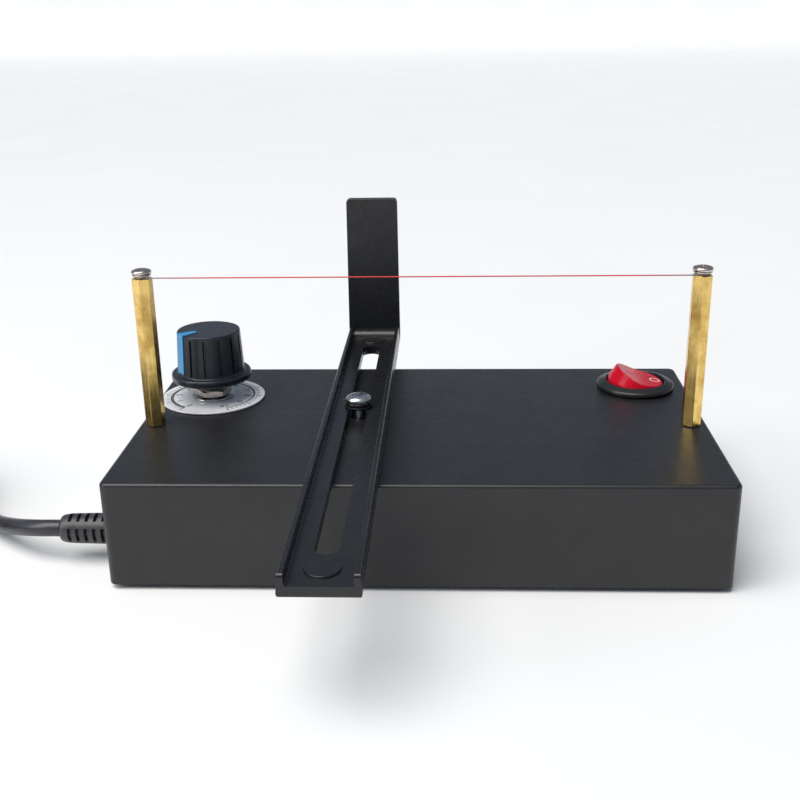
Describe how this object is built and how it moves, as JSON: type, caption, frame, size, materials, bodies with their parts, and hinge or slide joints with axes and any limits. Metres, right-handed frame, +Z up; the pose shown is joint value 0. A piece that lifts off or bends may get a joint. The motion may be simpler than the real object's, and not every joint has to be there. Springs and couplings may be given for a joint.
{
  "type": "hot wire cutter",
  "caption": "Bench hot wire foam cutter: low black case, brass posts holding a straight cutting wire, slotted sliding stop, heat knob, rocker switch and mains lead.",
  "frame": {"origin": "On the bench under the middle of the object's box, without the mains lead", "axes": "+X along the cutting wire to the user's right, +Y away from the user along the stop, +Z up"},
  "size_m": [0.2931, 0.188, 0.082],
  "materials": {
    "black_case": "satin moulded plastic",
    "black_stop": "semi-gloss moulded plastic",
    "black_switch": "satin plastic",
    "black_knob": "satin plastic",
    "blue_pointer": "satin coloured insert",
    "red_rocker": "glossy, slightly translucent",
    "brass": "drawn, satin",
    "nickel": "nickel plated",
    "zinc": "zinc plated",
    "dark_steel": "blackened",
    "hot_wire": "resistance wire, shown hot",
    "dial_silver": "printed satin face",
    "rubber": "matt",
    "cord": "smooth sheath",
    "green_board": "solder resist",
    "ferrite": "matt dark grey",
    "copper": "enamelled copper",
    "sleeve_blue": "shrink sleeve",
    "glass_tube": "clear",
    "heat_sink": "plain",
    "terminal_green": "satin",
    "lead_red": "insulated lead",
    "lead_brown": "insulated lead"
  },
  "bodies": {
    "case": {"board_screw_1": "zinc", "board_screw_2": "zinc", "bottom_plate": "black_case", "bottom_screw_1": "zinc", "bottom_screw_2": "zinc", "bottom_screw_3": "zinc", "bottom_screw_4": "zinc", "case_shell": "black_case", "circuit_board": "green_board", "clamp_nut": "zinc", "cord_coil": "cord", "cord_tail": "cord", "cord_tie": "rubber", "cutting_wire": "hot_wire", "dial_lead": "lead_brown", "dial_plate": "dial_silver", "foot_1": "rubber", "foot_2": "rubber", "foot_3": "rubber", "foot_4": "rubber", "fuse": "glass_tube", "heat_sink": "heat_sink", "input_capacitor": "sleeve_blue", "left_post": "brass", "left_post_lead": "lead_red", "left_post_screw": "zinc", "left_ring_terminal": "zinc", "left_wire_washer": "nickel", "output_capacitor": "sleeve_blue", "plug_body": "black_case", "plug_pin_left": "brass", "plug_pin_right": "brass", "potentiometer_body": "zinc", "potentiometer_nut": "nickel", "potentiometer_washer": "zinc", "power_cord": "cord", "power_transistor": "ferrite", "right_post": "brass", "right_post_lead": "lead_red", "right_post_screw": "zinc", "right_ring_terminal": "zinc", "right_wire_washer": "nickel", "strain_relief": "rubber", "switch_body": "black_switch", "switch_lead": "lead_brown", "switch_terminal_1": "brass", "switch_terminal_2": "brass", "terminal_block": "terminal_green", "transformer_core": "ferrite", "transformer_winding": "copper"},
    "stop_pivot": {"clamp_washer": "dark_steel"},
    "stop": {"stop_bracket": "black_stop"},
    "clamp": {"clamp_screw": "zinc", "clamp_lock_washer": "dark_steel"},
    "knob": {"potentiometer_shaft": "zinc", "control_knob": "black_knob", "knob_pointer": "blue_pointer"},
    "rocker": {"switch_rocker": "red_rocker"},
    "left_terminal": {"left_wire_screw": "nickel"},
    "right_terminal": {"right_wire_screw": "nickel"}
  },
  "joints": [
    {"name": "stop_turn", "type": "hinge", "parent": "case", "child": "stop_pivot", "pos_m": [-0.01835, 0.0145, 0.0306], "axis": [0, 0, 1], "range_deg": [-35, 35]},
    {"name": "stop_slide", "type": "slide", "parent": "stop_pivot", "child": "stop", "axis": [0, 1, 0], "range_m": [-0.057, 0.0892]},
    {"name": "clamp_turn", "type": "hinge", "parent": "case", "child": "clamp", "pos_m": [-0.01835, 0.0145, 0.0306], "axis": [0, 0, 1], "range_deg": [0, 90]},
    {"name": "knob_turn", "type": "hinge", "parent": "case", "child": "knob", "pos_m": [-0.065, 0.0309, 0.0306], "axis": [0, 0, 1], "range_deg": [-281, 19]},
    {"name": "rocker_tip", "type": "hinge", "parent": "case", "child": "rocker", "pos_m": [0.0664, 0.04, 0.0318], "axis": [0, 1, 0], "range_deg": [-40, 0]},
    {"name": "left_terminal_turn", "type": "hinge", "parent": "case", "child": "left_terminal", "pos_m": [-0.0772, 0.0078, 0.0741], "axis": [0, 0, 1], "range_deg": [0, 180]},
    {"name": "right_terminal_turn", "type": "hinge", "parent": "case", "child": "right_terminal", "pos_m": [0.0772, 0.0078, 0.0741], "axis": [0, 0, 1], "range_deg": [0, 180]}
  ]
}
